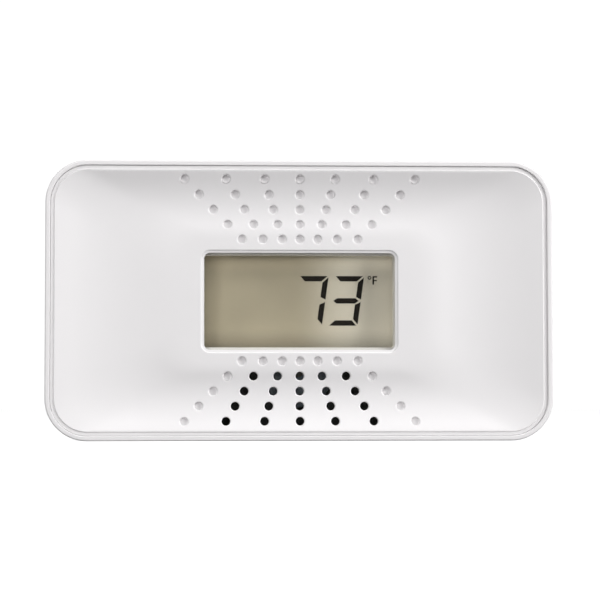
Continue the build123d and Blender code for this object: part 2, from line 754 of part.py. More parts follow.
# ---------------------------------------------------------------- activation switch
def slide_switch_body():
    body = block(-5.5, 5.5, SLIDER_Z - 2, SLIDER_Z + 2, BOARD_BACK, BOARD_BACK + 4.0)
    return body - block(-3.3, 3.3, SLIDER_Z - 1.1, SLIDER_Z + 1.1, BOARD_BACK + 2.0, BOARD_BACK + 4.0)


def slide_switch_lever():
    x = SLIDER_REST_X
    return block(x - 0.8, x + 0.8, SLIDER_Z - 0.8, SLIDER_Z + 0.8, BOARD_BACK + 2.4, BOARD_BACK + 6.4)


def activation_slider():
    x, back_inside = SLIDER_REST_X, DEPTH - WALL
    arm_front, flange_front, flange_rear = BOARD_BACK + 4.6, back_inside - 1.3, back_inside - 0.25
    slider = block(x - 2.4, x + 2.4, SLIDER_Z - 1.3, SLIDER_Z + 1.3, arm_front, flange_front)
    slider -= block(x - 0.85, x + 0.85, SLIDER_Z - 2, SLIDER_Z + 2, arm_front, arm_front + 2.0)
    slider += block(x - 9, x + 9, SLIDER_Z - 3.6, SLIDER_Z + 3.6, flange_front, flange_rear)
    knob = slab(RectangleRounded(7.6, 4.6, 0.6), flange_rear, DEPTH - 0.4, x, SLIDER_Z)
    for i in range(4):
        groove_x = x + (i - 1.5) * 1.6
        knob -= block(groove_x - 0.3, groove_x + 0.3, SLIDER_Z - 3, SLIDER_Z + 3, DEPTH - 0.8, DEPTH)
    return slider + knob


# ---------------------------------------------------------------- write every piece
def as_one(pieces):
    """A single solid, or a group of separate solids that share a node."""
    if isinstance(pieces, list):
        return Compound(children=[p.solid() for p in pieces])
    return pieces.solid()


def layers():
    return {
        "lcd_front_polarizer": stack_layer(0, GLASS_W - 2, GLASS_H - 2),
        "lcd_front_glass": stack_layer(1, GLASS_W, GLASS_H),
        "lcd_rear_glass": stack_layer(3, GLASS_W, GLASS_H),
        "lcd_reflector": stack_layer(4, GLASS_W - 2, GLASS_H - 2),
    }


MAKERS = (
    front_housing, face_panel, rear_cover, rubber_feet,
    display_lens, lcd_seal, lcd_digits, lcd_holder, lcd_pins,
    main_board, microcontroller, chip_components, step_up_coil, reservoir_capacitor,
    thermistor, board_screws, case_screws,
    sound_baffle, sounder_horn, sounder_base, sounder_disc, sounder_ceramic, sounder_pins,
    co_sensor_base, co_sensor_can, co_sensor_filter, co_sensor_pins,
    battery_cell, battery_sleeve, battery_tabs, battery_cradle,
    test_button, test_switch_body, test_switch_plunger,
    slide_switch_body, slide_switch_lever, activation_slider,
)

os.makedirs("parts", exist_ok=True)
pieces = {maker.__name__: maker() for maker in MAKERS} | layers()
for name, piece in pieces.items():
    export_step(as_one(piece), f"parts/{name}.step")
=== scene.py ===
import math

import bmesh
import bpy
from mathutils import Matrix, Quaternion, Vector
from mathutils.geometry import delaunay_2d_cdt


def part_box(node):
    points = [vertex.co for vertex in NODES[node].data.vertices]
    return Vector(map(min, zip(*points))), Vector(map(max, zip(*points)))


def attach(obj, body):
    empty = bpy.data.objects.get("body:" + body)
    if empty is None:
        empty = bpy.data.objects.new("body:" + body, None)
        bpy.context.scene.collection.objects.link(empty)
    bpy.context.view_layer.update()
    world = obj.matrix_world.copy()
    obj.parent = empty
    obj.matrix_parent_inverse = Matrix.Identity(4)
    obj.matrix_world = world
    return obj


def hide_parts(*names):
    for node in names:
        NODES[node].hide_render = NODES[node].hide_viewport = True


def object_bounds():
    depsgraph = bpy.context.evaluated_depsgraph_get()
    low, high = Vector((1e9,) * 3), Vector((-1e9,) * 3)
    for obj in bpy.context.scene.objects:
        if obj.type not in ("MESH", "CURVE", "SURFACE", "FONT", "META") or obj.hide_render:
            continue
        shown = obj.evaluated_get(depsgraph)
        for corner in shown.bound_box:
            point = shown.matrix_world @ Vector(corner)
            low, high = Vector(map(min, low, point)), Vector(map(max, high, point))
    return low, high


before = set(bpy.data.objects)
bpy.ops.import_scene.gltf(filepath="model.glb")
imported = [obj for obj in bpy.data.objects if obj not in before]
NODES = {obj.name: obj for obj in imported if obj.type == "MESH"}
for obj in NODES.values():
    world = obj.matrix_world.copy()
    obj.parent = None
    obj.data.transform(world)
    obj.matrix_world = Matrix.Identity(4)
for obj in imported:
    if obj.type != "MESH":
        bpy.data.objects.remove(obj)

CAD_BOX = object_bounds()
MM = 0.001

# ---- the object's main places, from the frame
LOW, HIGH = (Vector(corner) for corner in CAD_BOX)
WIDTH = HIGH.x - LOW.x
HEIGHT = HIGH.z - LOW.z
FRONT_Y = LOW.y
CENTRE_Z = (LOW.z + HIGH.z) / 2
FACE_CENTRE = Vector((0.0, FRONT_Y, CENTRE_Z))

# ---- camera: below and to the left of the middle of the face
CAMERA_AZIMUTH = -2.76
CAMERA_ELEVATION = -2.95
CAMERA_DISTANCE = 0.5977
CAMERA_LENS = 121.26
CAMERA_AIM = Vector((-0.07, 0.0, 0.09)) * MM
CAMERA_ROLL = -0.06
SENSOR_WIDTH = 36.0
CLIP_NEAR = 0.01
CLIP_FAR = 20.0

# ---- light: azimuth, elevation, side (m), distance (m) and power (W) of each lamp
LIGHTS = {
    "top": (0.0, 80.0, 0.6, 1.2, 5.1),
    "left": (-40.0, 40.0, 0.6, 1.2, 2.5),
    "right": (60.0, 15.0, 0.6, 1.2, 11.8),
    "front": (-30.0, 8.0, 0.4, 1.2, 3.6),
}
WORLD_STRENGTH = 0.2
BACKDROP_STRENGTH = 1.05
TRANSPARENT_BOUNCES = 32

# ---- floor, just under the feet
FLOOR_HALF = 4.0
FLOOR_DROP = 0.1 * MM
FLOOR_GLOW = 0.9
FLOOR_DARK = (0.36, 0.36, 0.36)
FLOOR_PALE = (0.40, 0.40, 0.40)

# ---- colours, and the light and shade painted across the display's backing
WHITE = (0.865, 0.848, 0.855)
OLIVE = (0.505, 0.445, 0.335)
# painted light: the display's backing turns from olive to this paler beige towards its right, between the
# next two places
PAINTED_LIGHT_BEIGE = (0.90, 0.84, 0.73)
PAINTED_LIGHT_FROM = -2.0 * MM
PAINTED_LIGHT_TO = 18.0 * MM
# painted shade along the left and bottom edges of the display's backing, and painted light along its top
# edge, over these bands
PAINTED_SHADE_SIDE_BAND = 6.0 * MM
PAINTED_END_BAND = 7.0 * MM
LEFT_PAINTED_SHADE = 0.88
BOTTOM_PAINTED_SHADE = 0.58
TOP_PAINTED_LIGHT = 1.5

# ---- dish of the face
PANEL_INSET = 2.55 * MM
PANEL_TOP = 0.15 * MM
PANEL_T = 2.0 * MM
PANEL_ROUND = 0.3 * MM
FLANGE_INSET = 1.6 * MM
FLANGE_FRONT = 0.6 * MM
FLANGE_BACK = 3.2 * MM
FLANGE_HIDDEN_INSET = 4.2 * MM
CORNER_R = 12.5 * MM
DISH_CORNER_R = 10.0 * MM
DISH_RUN = 20.4 * MM
DISH_STRETCH = 1.797
RIM_SLOPE = math.radians(26.0)
RIM_RUN = 3.0 * MM
INNER_SLOPE = math.radians(-14.5)
INNER_RUN = 16.5 * MM
OUTSIDE_REACH = 6.0 * MM
HALVINGS = 40

# ---- fineness of the panel's mesh
MESH_STEP = 1.15 * MM
EDGE_SHARE = 0.45
RIM_BAND = 0.3 * MM
WINDOW_BAND = 0.25 * MM
HOLE_BAND = 0.22 * MM
HOLE_CLEAR = 0.6 * MM

# ---- vent holes
HOLE_ROWS = 5
FIRST_ROW = 18.1 * MM
ROW_PITCH = 4.46 * MM
VENT_CENTRE_Z = 0.2 * MM
RAY_SLOPES = (0.0, 0.292, 0.610, 0.953)
THROUGH_R = 1.28 * MM
DIMPLE_R = 1.25 * MM
DIMPLE_DEPTH = 1.15 * MM
DIMPLE_STEP = 0.05 * MM
DIMPLE_CORNER = 0.16
DIMPLE_NARROWS = 0.97
# share of the radius halfway along a blind hole's floor, and shares of its depth there and in the middle
DIMPLE_HALFWAY = 0.5
DIMPLE_HALFWAY_DEPTH = 1.02
DIMPLE_MIDDLE_DEPTH = 1.03
MOUTH_R = 1.64 * MM
MOUTH_DROP = 0.30 * MM
HOLE_SIDES = 40

# ---- display window
WINDOW_W = 56.9 * MM
WINDOW_H = 28.85 * MM
WINDOW_Z = -0.17 * MM
WINDOW_R = 1.8 * MM
WINDOW_BEVEL = 1.05 * MM
WINDOW_WALL = 1.6 * MM
WINDOW_ROUND = 0.36 * MM
# flat ledge inside the round edge of the window, then the small turn into its wall
LEDGE_DROP = 0.03 * MM
LEDGE_START = 0.06 * MM
LEDGE_MARGIN = 0.12 * MM
TURN_MARGIN = 0.03 * MM
TURN_DROP = 0.07 * MM
TURN_END = 0.18 * MM
WINDOW = (WINDOW_W / 2 + WINDOW_BEVEL, WINDOW_H / 2 + WINDOW_BEVEL, WINDOW_R + WINDOW_BEVEL)
POCKET_W = 62.2 * MM
POCKET_H = 34.2 * MM
LENS_T = 1.2 * MM
RIB_W = 65.0 * MM
RIB_H = 36.6 * MM
POCKET = (POCKET_W / 2, POCKET_H / 2, 1.0 * MM)
RIB = (RIB_W / 2, RIB_H / 2, 2.0 * MM)

# ---- posts and hooks behind the panel
POST_X = 50.0 * MM
POST_Z = 25.0 * MM
POST_R = 3.0 * MM
POST_ROOT = 1.0 * MM
POST_BORE_R = 0.95 * MM
POST_BORE_FRONT = 9.0 * MM
POST_SIDES = 32
HOOK_X = 45.0 * MM
HOOK_HALF = 4.0 * MM
HOOK_REAR = 6.3 * MM
# how far in from the case's edge each begins and ends, and how far back it starts
HOOK_STEM = (5.9 * MM, 4.7 * MM, 2.4 * MM)
HOOK_BARB = (5.9 * MM, 3.9 * MM, 4.9 * MM)
# along the top and bottom edges or not, which of the two edges, and the place along it
HOOKS = [(True, sign, x) for x in (-HOOK_X, HOOK_X) for sign in (-1, 1)]
HOOKS += [(False, sign, 0.0) for sign in (-1, 1)]


# ---------------------------------------------------------------- materials
class Nodes:
    """Short-hand for building one material's node tree."""

    def __init__(self, name):
        self.material = bpy.data.materials.new(name)
        self.material.use_nodes = True
        self.tree = self.material.node_tree
        self.tree.nodes.clear()
        self.output = self.add("ShaderNodeOutputMaterial")
        self.coords = self.add("ShaderNodeTexCoord").outputs["Object"]

    def add(self, kind, **settings):
        node = self.tree.nodes.new(kind)
        for key, value in settings.items():
            setattr(node, key, value)
        return node

    def link(self, a, b):
        self.tree.links.new(a, b)

    def noise(self, scale, detail=2.0, roughness=0.5):
        node = self.add("ShaderNodeTexNoise")
        node.inputs["Scale"].default_value = scale
        node.inputs["Detail"].default_value = detail
        node.inputs["Roughness"].default_value = roughness
        self.link(self.coords, node.inputs["Vector"])
        return node.outputs["Fac"]

    def ramp(self, factor, low, high, start=0.3, end=0.7):
        node = self.add("ShaderNodeValToRGB")
        node.color_ramp.elements[0].position = start
        node.color_ramp.elements[0].color = (*low, 1)
        node.color_ramp.elements[1].position = end
        node.color_ramp.elements[1].color = (*high, 1)
        self.link(factor, node.inputs["Fac"])
        return node.outputs["Color"]

    def range(self, factor, low, high):
        node = self.add("ShaderNodeMapRange")
        node.inputs["To Min"].default_value = low
        node.inputs["To Max"].default_value = high
        self.link(factor, node.inputs["Value"])
        return node.outputs["Result"]

    def bump(self, height, distance, strength=1.0):
        node = self.add("ShaderNodeBump")
        node.inputs["Distance"].default_value = distance
        node.inputs["Strength"].default_value = strength
        self.link(height, node.inputs["Height"])
        return node.outputs["Normal"]

    def principled(self, **values):
        node = self.add("ShaderNodeBsdfPrincipled")
        for key, value in values.items():
            node.inputs[key.replace("_", " ")].default_value = value
        self.link(node.outputs["BSDF"], self.output.inputs["Surface"])
        return node


def shade(colour, factor):
    """Darker or paler shade of a colour."""
    return tuple(c * factor for c in colour)


def plastic(name, colour, roughness, grain=0.012, grain_scale=2600.0, variation=0.02, **values):
    """Moulded plastic: fine spark texture, a faint drift of colour and of gloss."""
    n = Nodes(name)
    shader = n.principled(**values)
    drift = n.noise(38.0, 3.0)
    n.link(n.ramp(drift, shade(colour, 1 - variation), colour), shader.inputs["Base Color"])
    n.link(n.range(n.noise(90.0, 2.0), roughness - 0.03, roughness + 0.03), shader.inputs["Roughness"])
    if grain:
        n.link(n.bump(n.noise(grain_scale, 3.0, 0.6), grain * MM), shader.inputs["Normal"])
    return n.material


def metal(name, colour, roughness, grain_scale=900.0, stretch=(1.0, 1.0, 1.0)):
    """Metal with brushed or rolled marks along the axis with the small stretch."""
    n = Nodes(name)
    shader = n.principled(Metallic=1.0)
    mapping = n.add("ShaderNodeMapping")
    mapping.inputs["Scale"].default_value = stretch
    n.link(n.coords, mapping.inputs["Vector"])
    marks = n.add("ShaderNodeTexNoise")
    marks.inputs["Scale"].default_value = grain_scale
    marks.inputs["Detail"].default_value = 4.0
    n.link(mapping.outputs["Vector"], marks.inputs["Vector"])
    n.link(n.ramp(marks.outputs["Fac"], shade(colour, 0.86), colour), shader.inputs["Base Color"])
    n.link(n.range(marks.outputs["Fac"], roughness - 0.08, roughness + 0.1), shader.inputs["Roughness"])
    n.link(n.bump(marks.outputs["Fac"], 0.01 * MM), shader.inputs["Normal"])
    return n.material


def clear(name, tint, haze, gloss_facing):
    """Thin clear sheet: sees straight through, with a glossy reflection that grows at a glancing angle."""
    n = Nodes(name)
    through = n.add("ShaderNodeBsdfTransparent")
    n.link(n.ramp(n.noise(60.0, 2.0), shade(tint, 0.985), tint), through.inputs["Color"])
    gloss = n.add("ShaderNodeBsdfGlossy")
    n.link(n.range(n.noise(240.0, 3.0), haze, haze + 0.04), gloss.inputs["Roughness"])
    facing = n.add("ShaderNodeLayerWeight")
    steep = n.add("ShaderNodeMath", operation="POWER")
    steep.inputs[1].default_value = 4.0
    n.link(facing.outputs["Facing"], steep.inputs[0])
    mix = n.add("ShaderNodeMixShader")
    n.link(n.range(steep.outputs["Value"], gloss_facing, 10 * gloss_facing), mix.inputs["Fac"])
    n.link(through.outputs["BSDF"], mix.inputs[1])
    n.link(gloss.outputs["BSDF"], mix.inputs[2])
    n.link(mix.outputs["Shader"], n.output.inputs["Surface"])
    return n.material


def display_back_painted_light(name):
    """Reflective olive backing of the display, with painted light (paler at the right and top) and painted
    shade (darker at the left and bottom).
    """
    n = Nodes(name)
    shader = n.principled(Roughness=0.5)
    low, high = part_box("lcd_reflector")
    parts = n.add("ShaderNodeSeparateXYZ")
    n.link(n.coords, parts.inputs["Vector"])

    def along(axis, start, end, to_start, to_end):
        node = n.add("ShaderNodeMapRange", interpolation_type="SMOOTHSTEP")
        node.inputs["From Min"].default_value = start
        node.inputs["From Max"].default_value = end
        node.inputs["To Min"].default_value = to_start
        node.inputs["To Max"].default_value = to_end
        n.link(parts.outputs[axis], node.inputs["Value"])
        return node.outputs["Result"]

    def times(a, b):
        node = n.add("ShaderNodeMath", operation="MULTIPLY")
        n.link(a, node.inputs[0])
        n.link(b, node.inputs[1])
        return node.outputs["Value"]

    # painted shade along the left and bottom edges, painted light along the top edge
    left = along("X", low.x, low.x + PAINTED_SHADE_SIDE_BAND, LEFT_PAINTED_SHADE, 1.0)
    bottom = along("Z", low.z, low.z + PAINTED_END_BAND, BOTTOM_PAINTED_SHADE, 1.0)
    top = along("Z", high.z - PAINTED_END_BAND, high.z, 1.0, TOP_PAINTED_LIGHT)
    level = times(times(left, bottom), top)
    level = times(level, n.range(n.noise(1500.0, 2.0), 0.985, 1.015))
    # painted light: olive turning to a paler beige towards the right
    painted_light_sides = n.ramp(along("X", PAINTED_LIGHT_FROM, PAINTED_LIGHT_TO, 0.0, 1.0), OLIVE, PAINTED_LIGHT_BEIGE, 0.0, 1.0)
    tint = n.add("ShaderNodeVectorMath", operation="MULTIPLY")
    n.link(painted_light_sides, tint.inputs[0])
    n.link(level, tint.inputs[1])
    n.link(tint.outputs["Vector"], shader.inputs["Base Color"])
    return n.material


def board_material(name):
    """Green solder mask over copper tracks."""
    n = Nodes(name)
    shader = n.principled(Roughness=0.35, Coat_Weight=0.4)
    tracks = n.add("ShaderNodeTexBrick", offset=0.5)
    tracks.inputs["Scale"].default_value = 260.0
    tracks.inputs["Mortar Size"].default_value = 0.03
    tracks.inputs["Color1"].default_value = (0.010, 0.10, 0.035, 1)
    tracks.inputs["Color2"].default_value = (0.014, 0.13, 0.045, 1)
    tracks.inputs["Mortar"].default_value = (0.03, 0.20, 0.07, 1)
    turn = n.add("ShaderNodeMapping")
    turn.inputs["Rotation"].default_value = (math.radians(90), 0, 0)
    n.link(n.coords, turn.inputs["Vector"])
    n.link(turn.outputs["Vector"], tracks.inputs["Vector"])
    n.link(tracks.outputs["Color"], shader.inputs["Base Color"])
    n.link(n.bump(tracks.outputs["Fac"], 0.03 * MM), shader.inputs["Normal"])
    return n.material


def make_materials():
    return {
        "shell": plastic("shell_white_plastic", WHITE, 0.42),
        "panel": plastic("panel_white_plastic", WHITE, 0.40),
        "button": plastic("button_white_plastic", shade(WHITE, 0.97), 0.38, grain=0.006),
        "lens": clear("clear_acrylic_lens", (0.992, 0.993, 0.99), 0.03, 0.012),
        "glass": clear("display_glass", (0.992, 0.994, 0.99), 0.05, 0.002),
        "polarizer": clear("polarizer_film", (0.985, 0.982, 0.97), 0.12, 0.004),
        "reflector": display_back_painted_light("display_backing_painted_light_shade"),
        "digits": plastic("display_segment", (0.014, 0.011, 0.008), 0.6, grain=0, Specular_IOR_Level=0.1),
        "seal": plastic("epoxy_seal", (0.45, 0.44, 0.36), 0.5),
        "holder": plastic("display_frame_plastic", (0.84, 0.82, 0.78), 0.45),
        "tin": metal("tinned_pin", (0.76, 0.76, 0.74), 0.25),
        "board": board_material("circuit_board"),
        "chip": plastic("chip_black_epoxy", (0.025, 0.025, 0.026), 0.5),
        "tan": plastic("chip_capacitor_body", (0.42, 0.30, 0.17), 0.45),
        "ferrite": plastic("ferrite_and_wire", (0.10, 0.075, 0.06), 0.5, grain=0.03),
        "can": plastic("capacitor_sleeve", (0.03, 0.04, 0.08), 0.3),
        "bead": plastic("thermistor_glaze", (0.03, 0.03, 0.03), 0.2),
        "steel": metal("zinc_plated_steel", (0.62, 0.62, 0.62), 0.3),
        "rubber": plastic("foot_rubber", (0.16, 0.16, 0.165), 0.75, grain=0.03, grain_scale=1500.0),
        "duct": plastic("duct_black_plastic", (0.20, 0.20, 0.185), 0.6),
        "sounder": plastic("sounder_slate_plastic", (0.66, 0.74, 0.80), 0.45),
        "brass": metal("brass_diaphragm", (0.80, 0.60, 0.28), 0.25),
        "ceramic": plastic("piezo_ceramic", (0.80, 0.78, 0.70), 0.4),
        "sensor": metal("sensor_can_steel", (0.66, 0.66, 0.67), 0.28),
        "felt": plastic("filter_felt", (0.03, 0.03, 0.03), 0.95, grain=0.1, grain_scale=1800.0),
        "nickel": metal("nickel_strip", (0.70, 0.68, 0.62), 0.28, stretch=(1.0, 0.05, 1.0)),
        "sleeve": plastic("battery_shrink_film", (0.05, 0.12, 0.33), 0.25),
        "black": plastic("switch_black_plastic", (0.03, 0.03, 0.032), 0.5),
        "slider": plastic("slider_grey_plastic", (0.12, 0.12, 0.13), 0.45),
    }


NODE_MATERIALS = {
    "shell": ("front_housing", "rear_cover"),
    "panel": ("face_panel",),
    "button": ("test_button",),
    "lens": ("display_lens",),
    "glass": ("lcd_front_glass",),
    "polarizer": ("lcd_front_polarizer",),
    "reflector": ("lcd_reflector", "lcd_rear_glass"),
    "digits": ("lcd_digits",),
    "seal": ("lcd_seal",),
    "holder": ("lcd_holder",),
    "tin": ("lcd_pins", "sounder_pins", "co_sensor_pins"),
    "board": ("main_board",),
    "chip": ("microcontroller",),
    "tan": ("chip_components",),
    "ferrite": ("step_up_coil",),
    "can": ("reservoir_capacitor",),
    "bead": ("thermistor",),
    "steel": ("board_screws", "case_screws", "slide_switch_body"),
    "rubber": ("rubber_feet",),
    "duct": ("sound_baffle", "sounder_base"),
    "sounder": ("sounder_horn",),
    "brass": ("sounder_disc",),
    "ceramic": ("sounder_ceramic",),
    "sensor": ("co_sensor_can", "battery_cell"),
    "felt": ("co_sensor_filter",),
    "nickel": ("battery_tabs",),
    "sleeve": ("battery_sleeve",),
    "black": ("co_sensor_base", "battery_cradle", "test_switch_body", "slide_switch_lever"),
    "slider": ("test_switch_plunger", "activation_slider"),
}


def paint(piece, material):
    """Give a piece one material in place of any it has."""
    piece.data.materials.clear()
    piece.data.materials.append(material)


# ---------------------------------------------------------------- camera, light and floor
def aim(thing, target, roll=0.0):
    """Point a camera or a lamp at a place."""
    thing.rotation_mode = "QUATERNION"
    direction = target - thing.location
    turn = direction.to_track_quat("-Z", "Y")
    thing.rotation_quaternion = turn @ Quaternion((0, 0, 1), math.radians(roll))


def around(azimuth, elevation, distance, centre=FACE_CENTRE):
    """Point at a distance from the middle of the face, in the direction the viewer stands."""
    a, e = math.radians(azimuth), math.radians(elevation)
    return centre + distance * Vector((math.sin(a) * math.cos(e), -math.cos(a) * math.cos(e), math.sin(e)))


def make_camera():
    data = bpy.data.cameras.new("camera")
    camera = bpy.data.objects.new("camera", data)
    bpy.context.scene.collection.objects.link(camera)
    target = FACE_CENTRE + CAMERA_AIM
    camera.location = around(CAMERA_AZIMUTH, CAMERA_ELEVATION, CAMERA_DISTANCE, target)
    aim(camera, target, CAMERA_ROLL)
    data.lens = CAMERA_LENS
    data.sensor_width = SENSOR_WIDTH
    data.clip_start = CLIP_NEAR
    data.clip_end = CLIP_FAR
    bpy.context.scene.camera = camera


def make_lights():
    for name, (azimuth, elevation, side, distance, power) in LIGHTS.items():
        data = bpy.data.lights.new(name, "AREA")
        data.shape = "SQUARE"
        data.size = side
        data.energy = power
        lamp = bpy.data.objects.new(name, data)
        bpy.context.scene.collection.objects.link(lamp)
        lamp.location = around(azimuth, elevation, distance)
        aim(lamp, FACE_CENTRE)


def make_world():
    """Even white light, with a brighter white where the camera looks past the object."""
    world = bpy.data.worlds.new("studio")
    bpy.context.scene.world = world
    world.use_nodes = True
    tree = world.node_tree
    background = tree.nodes["Background"]
    background.inputs["Color"].default_value = (1, 1, 1, 1)
    background.inputs["Strength"].default_value = WORLD_STRENGTH
    seen = tree.nodes.new("ShaderNodeBackground")
    seen.inputs["Color"].default_value = (1, 1, 1, 1)
    seen.inputs["Strength"].default_value = BACKDROP_STRENGTH
    rays = tree.nodes.new("ShaderNodeLightPath")
    mix = tree.nodes.new("ShaderNodeMixShader")
    tree.links.new(rays.outputs["Is Camera Ray"], mix.inputs["Fac"])
    tree.links.new(background.outputs["Background"], mix.inputs[1])
    tree.links.new(seen.outputs["Background"], mix.inputs[2])
    tree.links.new(mix.outputs["Shader"], tree.nodes["World Output"].inputs["Surface"])


def make_floor():
    """Glowing pale floor that neither shades nor lights the object."""
    n = Nodes("pale_floor")
    shader = n.principled(Roughness=0.9)
    n.link(n.ramp(n.noise(3.0), FLOOR_DARK, FLOOR_PALE), shader.inputs["Base Color"])
    shader.inputs["Emission Color"].default_value = (1, 1, 1, 1)
    shader.inputs["Emission Strength"].default_value = FLOOR_GLOW
    mesh = bpy.data.meshes.new("floor")
    corners = [(x * FLOOR_HALF, y * FLOOR_HALF, 0) for x, y in ((-1, -1), (1, -1), (1, 1), (-1, 1))]
    mesh.from_pydata(corners, [], [(0, 1, 2, 3)])
    floor = bpy.data.objects.new("floor", mesh)
    floor.location.z = LOW.z - FLOOR_DROP
    bpy.context.scene.collection.objects.link(floor)
    mesh.materials.append(n.material)
    floor.visible_diffuse = False
    floor.visible_glossy = False
    floor.visible_shadow = False


# ---------------------------------------------------------------- dish of the face
def slope_sink(angle_from, angle_to, run):
    """Drop over a run in which the slope angle turns evenly from one value to another."""
    return run / (angle_from - angle_to) * math.log(math.cos(angle_to) / math.cos(angle_from))


def sink(run):
    """Depth of the dish below its rim, a given run in from the rim."""
    if run <= RIM_RUN:
        return run * math.tan(RIM_SLOPE)
    drop = RIM_RUN * math.tan(RIM_SLOPE)
    part = min(run, INNER_RUN) - RIM_RUN
    angle = RIM_SLOPE + (INNER_SLOPE - RIM_SLOPE) * part / (INNER_RUN - RIM_RUN)
    if part > 1e-9:
        drop += slope_sink(RIM_SLOPE, angle, part)
    if run > INNER_RUN:
        rest = min(run, DISH_RUN) - INNER_RUN
        end_angle = INNER_SLOPE * (1 - rest / (DISH_RUN - INNER_RUN))
        if rest > 1e-9:
            drop += slope_sink(INNER_SLOPE, end_angle, rest)
    return drop


def run_in(x, z):
    """How far in from the rim a point is, on nested rounded rectangles, found by halving."""
    low = -OUTSIDE_REACH
    high = DISH_RUN
    for _ in range(HALVINGS):
        mid = (low + high) / 2
        half_x = WIDTH / 2 - PANEL_INSET - DISH_STRETCH * mid - DISH_CORNER_R
        half_z = HEIGHT / 2 - PANEL_INSET - mid - DISH_CORNER_R
        inside = math.hypot(max(abs(x) - half_x, 0.0), max(abs(z) - half_z, 0.0)) <= DISH_CORNER_R
        low, high = (mid, high) if inside else (low, mid)
    return low


def face_depth(x, z):
    """Depth of the dished face behind the front plane."""
    return PANEL_TOP + sink(run_in(x, z))


def sunk(drop):
    """Depth function that follows the dish, a fixed drop behind it."""
    return lambda x, z: face_depth(x, z) + drop


def place(x, z, depth):
    """Point in the shared frame from its place on the face and its depth behind the front plane."""
    return Vector((x, FRONT_Y + depth, CENTRE_Z + z))


# ---------------------------------------------------------------- mesh helpers
def rounded_outline(half_x, half_z, radius, corner_steps=10, side_step=1.6 * MM):
    """Anticlockwise (x, z) points of a rounded rectangle."""
    points = []
    count_x = max(1, round(2 * (half_x - radius) / side_step))
    count_z = max(1, round(2 * (half_z - radius) / side_step))
    corners = ((1, 1, 0, count_x), (-1, 1, 90, count_z), (-1, -1, 180, count_x), (1, -1, 270, count_z))
    for index, (sx, sz, start, count) in enumerate(corners):
        cx, cz = sx * (half_x - radius), sz * (half_z - radius)
        for i in range(corner_steps + 1):
            angle = math.radians(start + 90 * i / corner_steps)
            points.append((cx + radius * math.cos(angle), cz + radius * math.sin(angle)))
        nx, nz = corners[(index + 1) % 4][:2]
        angle = math.radians(start + 90)
        end = points[-1]
        goal_x = nx * (half_x - radius) + radius * math.cos(angle)
        goal_z = nz * (half_z - radius) + radius * math.sin(angle)
        for i in range(1, count):
            t = i / count
            points.append((end[0] + (goal_x - end[0]) * t, end[1] + (goal_z - end[1]) * t))
    return points


def matched_outline(half_x, half_z, radius, inset, corner_steps=10):
    """Inset of a rounded rectangle with the same number of points as the rectangle itself."""
    outer = rounded_outline(half_x, half_z, radius, corner_steps)
    core_x = half_x - radius
    core_z = half_z - radius
    scale = (radius - inset) / radius
    points = []
    for x, z in outer:
        cx = max(-core_x, min(core_x, x))
        cz = max(-core_z, min(core_z, z))
        points.append((cx + (x - cx) * scale, cz + (z - cz) * scale))
    return points


def outline_at(inset, corner_steps=12):
    """Outline of the whole face, drawn in by an inset."""
    return matched_outline(WIDTH / 2, HEIGHT / 2, CORNER_R, inset, corner_steps)


def in_rounded(x, z, half_x, half_z, radius):
    """Whether a place is inside a rounded rectangle."""
    over_x = max(abs(x) - half_x + radius, 0.0)
    over_z = max(abs(z) - half_z + radius, 0.0)
    return math.hypot(over_x, over_z) <= radius and abs(x) <= half_x and abs(z) <= half_z


def in_grown(x, z, shape, margin):
    """Whether a place is inside a rounded rectangle that is grown all round by a margin."""
    half_x, half_z, radius = shape
    return in_rounded(x, z, half_x + margin, half_z + margin, radius + margin)


def in_face(x, z, inset):
    """Whether a place is inside the outline of the whole face, drawn in by an inset."""
    return in_rounded(x, z, WIDTH / 2 - inset, HEIGHT / 2 - inset, CORNER_R - inset)


def ring(bm, points, depth):
    """Closed ring of vertices. depth is a number or a function of the place on the face."""
    level = depth if callable(depth) else lambda x, z: depth
    return [bm.verts.new(place(x, z, level(x, z))) for x, z in points]


def bridge(bm, first, second):
    """Quads between two rings of equal length."""
    count = len(first)
    for i in range(count):
        j = (i + 1) % count
        bm.faces.new((first[i], first[j], second[j], second[i]))


def walls(bm, last, rings):
    """Bands of quads from one ring through each of the next. Returns the last ring."""
    for now in rings:
        bridge(bm, last, now)
        last = now
    return last


def cap(bm, verts):
    bm.faces.new(verts)


def finish_mesh(name, bm, material, body, angle=38.0):
    """Turn a bmesh into a smooth-shaded piece with crisp edges that rides on a body."""
    bmesh.ops.recalc_face_normals(bm, faces=bm.faces)
    mesh = bpy.data.meshes.new(name)
    bm.to_mesh(mesh)
    bm.free()
    mesh.polygons.foreach_set("use_smooth", [True] * len(mesh.polygons))
    mesh.set_sharp_from_angle(angle=math.radians(angle))
    mesh.materials.append(material)
    piece = bpy.data.objects.new(name, mesh)
    bpy.context.scene.collection.objects.link(piece)
    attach(piece, body)
    return piece


def tube(bm, x, z, front, back, outer, inner, bore_front):
    """Round post along the depth axis with a blind bore in its back end."""
    angles = [math.tau * i / POST_SIDES for i in range(POST_SIDES)]
    circle = [(math.cos(a), math.sin(a)) for a in angles]
    levels = ((outer, front), (outer, back), (inner, back), (inner, bore_front))
    rings = [ring(bm, [(x + r * c, z + r * s) for c, s in circle], depth) for r, depth in levels]
    walls(bm, rings[0], rings[1:])
    cap(bm, rings[0])
    cap(bm, rings[-1])


def box_between(bm, x0, x1, z0, z1, front, back):
    """Closed box between two depths."""
    corners = [(x0, z0), (x1, z0), (x1, z1), (x0, z1)]
    near = ring(bm, corners, front)
    far = ring(bm, corners, back)
    bridge(bm, near, far)
    cap(bm, near)
    cap(bm, far)


